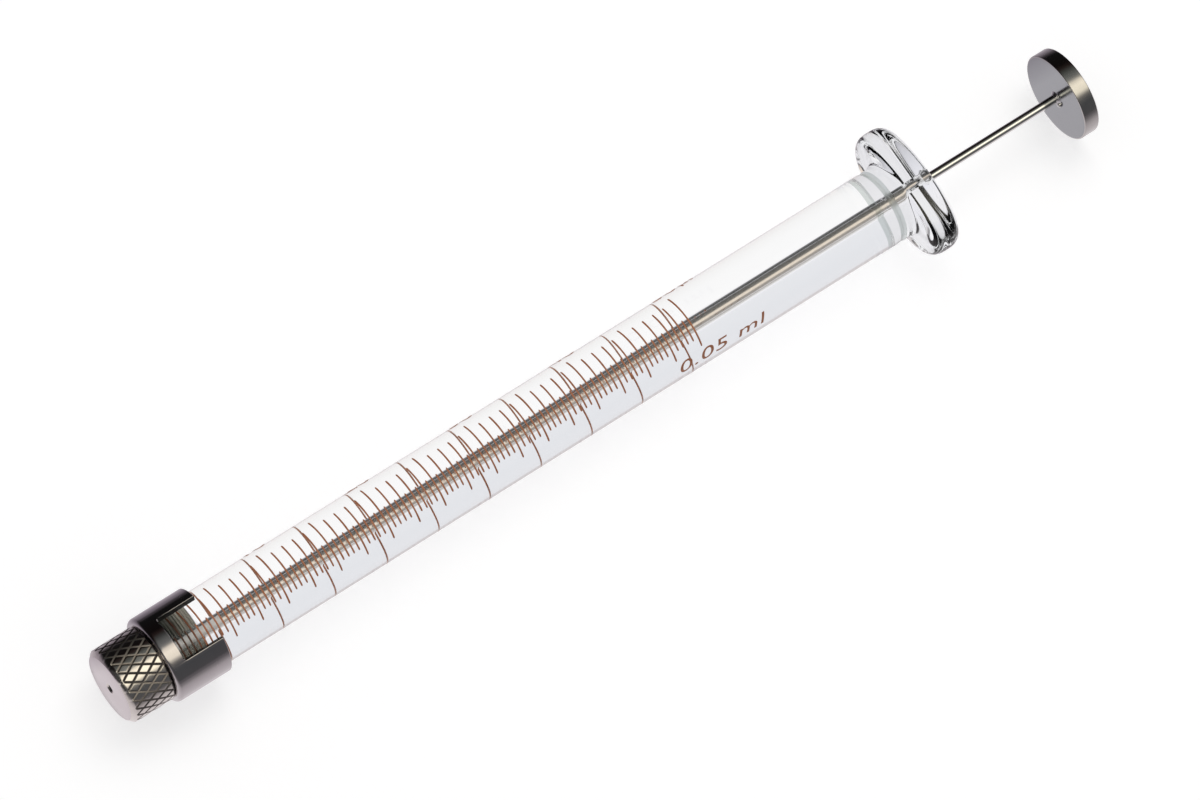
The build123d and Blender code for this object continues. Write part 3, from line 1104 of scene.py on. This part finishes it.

# Tones of the tent, painted reflections and painted floor tones with painted shadow that metal and glass show: over
# the floor by millimetres towards +Y, overhead by degrees from +Z towards +Y. The mirror arch's bright band is the
# painted highlight of the softbox.
MIRROR_FLOOR = (
    (-400, 0.10, 0.10, 0.105),
    (-50, 0.19, 0.18, 0.19),
    (-26, 0.36, 0.34, 0.35),
    (-13, 0.68, 0.64, 0.66),
    (-4, 0.90, 0.86, 0.88),
    (3, 0.94, 0.90, 0.93),
    (6, 0.64, 0.59, 0.64),
    (13, 0.36, 0.32, 0.37),
    (27, 0.08, 0.07, 0.08),
    (60, 0.01, 0.01, 0.01),
)
MIRROR_ARCH = (
    (-90, 0.11, 0.11, 0.115),
    (-60, 0.10, 0.105, 0.11),
    (-50, 0.15, 0.15, 0.15),
    (-42, 0.26, 0.25, 0.23),
    (-36, 0.8, 0.76, 0.65),
    (-30, 1.5, 1.42, 1.16),
    (-12, 1.7, 1.60, 1.32),
    (-2, 1.3, 1.22, 1.02),
    (4, 0.42, 0.42, 0.38),
    (10, 0.24, 0.25, 0.24),
    (20, 0.17, 0.18, 0.17),
    (30, 0.08, 0.085, 0.08),
    (40, 0.03, 0.02, 0.018),
    (50, 0.008, 0.006, 0.006),
    (90, 0.01, 0.01, 0.01),
)
GLASS_FLOOR = (
    (-400, 0.34, 0.32, 0.31),
    (-30, 0.34, 0.32, 0.31),
    (-12, 0.42, 0.40, 0.39),
    (-8, 0.55, 0.53, 0.53),
    (-6, 0.80, 0.79, 0.80),
    (1, 0.84, 0.84, 0.89),
    (6, 0.40, 0.40, 0.42),
    (9, 0.11, 0.11, 0.115),
    (20, 0.06, 0.06, 0.06),
    (400, 0.06, 0.06, 0.06),
)
GLASS_ARCH = (
    (-90, 0.34, 0.32, 0.30),
    (-70, 0.31, 0.28, 0.26),
    (-56, 0.42, 0.37, 0.33),
    (-44, 0.84, 0.75, 0.64),
    (-32, 0.98, 0.87, 0.74),
    (-12, 0.94, 0.83, 0.70),
    (-2, 0.48, 0.43, 0.37),
    (8, 0.13, 0.12, 0.11),
    (30, 0.07, 0.07, 0.068),
    (90, 0.055, 0.055, 0.055),
)
CLEAR_FLOOR = (
    (-400, 0.84, 0.84, 0.86),
    (7, 0.84, 0.84, 0.86),
    (9, 0.30, 0.30, 0.31),
    (24, 0.30, 0.30, 0.31),
    (32, 0.84, 0.84, 0.86),
    (400, 0.84, 0.84, 0.86),
)
CLEAR_ARCH = (
    (-90, 0.84, 0.84, 0.86),
    (-40, 0.95, 0.95, 0.96),
    (40, 0.95, 0.95, 0.96),
    (90, 0.84, 0.84, 0.86),
)
VANES_LIT = (
    (-8, 0.56, 0.54, 0.54),
    (-4, 0.66, 0.65, 0.65),
    (-2.2, 0.84, 0.83, 0.83),
    (-0.9, 1.0, 1.0, 1.0),
    (8, 1.0, 1.0, 1.0),
)
VANES_DIM = (
    (-8, 0.84, 0.85, 0.88),
    (1.0, 0.84, 0.85, 0.88),
    (1.1, 0.76, 0.76, 0.79),
    (1.3, 0.66, 0.62, 0.64),
    (1.6, 0.62, 0.59, 0.61),
    (2.2, 0.55, 0.53, 0.55),
    (3.2, 0.44, 0.43, 0.44),
    (4.5, 0.34, 0.33, 0.34),
    (6.0, 0.22, 0.22, 0.23),
    (8, 0.16, 0.16, 0.165),
)
MIRROR_END = (0.06, 0.06, 0.06, 1.0)
GLASS_END = (0.80, 0.80, 0.84, 1.0)


def make_tent(ground):
    """A glowing tunnel of soft tones round the syringe that only reflections and bent light see: painted reflections,
    with a painted highlight in place of the softbox, and painted floor tones with painted shadow that the glass
    shows.
    """
    reach, half_length, lift = 0.5, 1.2, 0.03 * MM
    middle = (cad_box[0].x + cad_box[1].x) / 2
    along = (middle - half_length, middle + half_length)
    floor_mm = np.concatenate([np.linspace(*run) for run in FLOOR_RUNS])
    arch = np.linspace(90, -90, 181)[1:-1]
    section = [(y * MM, ground + lift) for y in floor_mm]
    section += [(reach * math.sin(math.radians(a)), reach * math.cos(math.radians(a))) for a in arch]
    points = [(x, y, z) for y, z in section for x in along]
    count = len(section)
    faces = [(2 * i, 2 * i + 1, 2 * ((i + 1) % count) + 1, 2 * ((i + 1) % count)) for i in range(count)]
    faces += [tuple(range(2 * count, 4 * count, 2)), tuple(range(2 * count + 1, 4 * count, 2))]
    points += points
    tent = stage_mesh("painted_reflection_tent", points, faces, tone_material("Painted reflection tent", tent_tones))
    for name, floor_table, arch_table, end_tone in (
        ("mirror tone", MIRROR_FLOOR, MIRROR_ARCH, MIRROR_END),
        ("glass tone", GLASS_FLOOR, GLASS_ARCH, GLASS_END),
        ("clear tone", CLEAR_FLOOR, CLEAR_ARCH, GLASS_END),
    ):
        tones = np.concatenate([tones_at(floor_mm, floor_table), tones_at(arch, arch_table)]).repeat(2, axis=0)
        add_tones(tent, name, np.concatenate([tones, np.tile(end_tone, (2 * count, 1))]))
    tent.visible_camera = tent.visible_diffuse = tent.visible_shadow = False
    tent.visible_volume_scatter = False


def make_vanes(ground, lean):
    """Fine leaning vanes under the barrel that glow as if lit on one side, painted light and painted shade that only
    light bent by the glass sees.
    """
    height, lift, spacing, reach = 0.6 * MM, 0.05 * MM, 0.1, 8.0
    start, end = part_span("hub_collar")[1] + 0.3 * MM, part_span("glass_barrel")[1] - 4.5 * MM
    places = np.arange(-reach, reach + spacing / 2, spacing)
    points, faces = [], []
    for place in places:
        top = place * MM - height * math.tan(lean)
        for x in (start, end):
            points += [(x, place * MM, ground + lift), (x, top, ground + lift + height)]
        first = len(points) - 4
        faces.append((first, first + 1, first + 3, first + 2))
    vanes = stage_mesh("painted_light_vanes", points, faces, tone_material("Painted light vanes", vane_tones))
    for name, table in (("lit side", VANES_LIT), ("dim side", VANES_DIM)):
        add_tones(vanes, name, tones_at(places, table).repeat(4, axis=0))
    vanes.visible_camera = vanes.visible_diffuse = vanes.visible_shadow = vanes.visible_glossy = False
    vanes.visible_volume_scatter = False


def make_stage():
    """Floor, lamp, light tent of painted reflections, vanes of painted light, world and camera."""
    s = settings("studio")
    scene = bpy.context.scene
    scene.view_settings.view_transform = "Standard"

    half, ground = 1.6, cad_box[0].z
    corners = [(-half, -half, ground), (half, -half, ground), (half, half, ground), (-half, half, ground)]
    stage_mesh("studio_floor", corners, [(0, 1, 2, 3)], floor_material(s.floor_colour, s.floor_glow))
    make_tent(ground)
    make_vanes(ground, s.facing_turn)

    lamp = bpy.data.lights.new("softbox", "AREA")
    lamp.shape, lamp.size, lamp.size_y = "RECTANGLE", s.softbox_length, s.softbox_width
    lamp.energy, lamp.color = s.softbox_power, (1.0, 0.97, 0.92)
    softbox = link_object("softbox", lamp)
    softbox.location = s.softbox_place
    middle = Vector(((cad_box[0].x + cad_box[1].x) / 2, 0.0, 0.0))
    softbox.rotation_euler = (middle - Vector(s.softbox_place)).to_track_quat("-Z", "Y").to_euler()
    # The softbox is hidden from reflections and bent light; the tent's painted highlight stands in for it.
    softbox.visible_glossy = softbox.visible_transmission = False

    world = bpy.data.worlds.new("Studio")
    scene.world = world
    world.use_nodes = True
    tree = world.node_tree
    tree.nodes.clear()
    sky = tree.nodes.new("ShaderNodeBackground")
    feed(tree, sky, Strength=math_node(tree, "MULTIPLY_ADD", seen_path(tree), 1.0 - s.ambient, s.ambient))
    feed(tree, tree.nodes.new("ShaderNodeOutputWorld"), Surface=sky.outputs[0])

    lens = bpy.data.cameras.new("studio_camera")
    lens.lens, lens.sensor_width = s.lens, 36.0
    lens.clip_start, lens.clip_end = 0.01, 20.0
    camera = link_object("studio_camera", lens)
    tilt, turn, facing = s.axis_tilt, s.image_angle, s.facing_turn
    along = Vector((math.cos(tilt) * math.cos(turn), math.cos(tilt) * math.sin(turn), -math.sin(tilt)))
    across = Vector((-math.sin(turn), math.cos(turn), 0.0))
    towards = Vector((math.sin(tilt) * math.cos(turn), math.sin(tilt) * math.sin(turn), math.cos(tilt)))
    y_seen = across * math.cos(facing) - towards * math.sin(facing)
    z_seen = across * math.sin(facing) + towards * math.cos(facing)
    seen_from_camera = Matrix((along, y_seen, z_seen)).transposed().to_4x4()
    seen_from_camera.translation = Vector(s.origin_seen)
    camera.matrix_world = seen_from_camera.inverted()
    scene.camera = camera


# Operators, panel and registration


class MICROSYRINGE_OT_stage(bpy.types.Operator):
    """Make the floor, lamp, painted reflections and painted light, and camera"""

    bl_idname = "microsyringe.stage"
    bl_label = "Studio"

    def execute(self, context):
        make_stage()
        return {"FINISHED"}


class MICROSYRINGE_OT_nut(bpy.types.Operator):
    """Make the knurled needle nut"""

    bl_idname = "microsyringe.nut"
    bl_label = "Knurled nut"

    def execute(self, context):
        make_nut()
        return {"FINISHED"}


class MICROSYRINGE_OT_seal(bpy.types.Operator):
    """Finish the needle seal inside the nut"""

    bl_idname = "microsyringe.seal"
    bl_label = "Needle seal"

    def execute(self, context):
        make_seal()
        return {"FINISHED"}


class MICROSYRINGE_OT_collar(bpy.types.Operator):
    """Make the collar with its window and threaded nose"""

    bl_idname = "microsyringe.collar"
    bl_label = "Hub collar"

    def execute(self, context):
        make_collar()
        return {"FINISHED"}


class MICROSYRINGE_OT_glass(bpy.types.Operator):
    """Make the glass tube with its finger flange"""

    bl_idname = "microsyringe.glass"
    bl_label = "Glass barrel"

    def execute(self, context):
        make_glass()
        return {"FINISHED"}


class MICROSYRINGE_OT_lines(bpy.types.Operator):
    """Make the fired-on graduation lines"""

    bl_idname = "microsyringe.lines"
    bl_label = "Graduation lines"

    def execute(self, context):
        make_lines()
        return {"FINISHED"}


class MICROSYRINGE_OT_numbers(bpy.types.Operator):
    """Make the fired-on numerals"""

    bl_idname = "microsyringe.numbers"
    bl_label = "Numerals"

    def execute(self, context):
        make_numbers()
        return {"FINISHED"}


class MICROSYRINGE_OT_plunger(bpy.types.Operator):
    """Make the plunger's tip, wire and thumb button"""

    bl_idname = "microsyringe.plunger"
    bl_label = "Plunger"

    def execute(self, context):
        make_plunger()
        return {"FINISHED"}


OPERATORS = (
    MICROSYRINGE_OT_stage,
    MICROSYRINGE_OT_nut,
    MICROSYRINGE_OT_seal,
    MICROSYRINGE_OT_collar,
    MICROSYRINGE_OT_glass,
    MICROSYRINGE_OT_lines,
    MICROSYRINGE_OT_numbers,
    MICROSYRINGE_OT_plunger,
)


class MICROSYRINGE_PT_panel(bpy.types.Panel):
    """Sidebar panel with the settings and a button for each piece."""

    bl_idname = "MICROSYRINGE_PT_panel"
    bl_label = "Microsyringe"
    bl_space_type = "VIEW_3D"
    bl_region_type = "UI"
    bl_category = "Microsyringe"

    def draw(self, context):
        for operator in OPERATORS:
            self.layout.operator(operator.bl_idname)
        for part, group in SETTINGS.items():
            box = self.layout.box()
            box.label(text=part.capitalize())
            for name in group.__annotations__:
                box.prop(settings(part), name)


CLASSES = (*SETTINGS.values(), *OPERATORS, MICROSYRINGE_PT_panel)


def register():
    """Adds the settings, operators and panel to Blender."""
    for made in CLASSES:
        bpy.utils.register_class(made)
    for part, group in SETTINGS.items():
        setattr(bpy.types.Scene, "microsyringe_" + part, bpy.props.PointerProperty(type=group))


def unregister():
    """Takes the settings, operators and panel out of Blender again."""
    for part in SETTINGS:
        delattr(bpy.types.Scene, "microsyringe_" + part)
    for made in reversed(CLASSES):
        bpy.utils.unregister_class(made)


def main():
    """Builds everything in order."""
    register()
    for operator in OPERATORS:
        getattr(bpy.ops.microsyringe, operator.bl_idname.split(".")[1])()


if __name__ == "__main__":
    main()
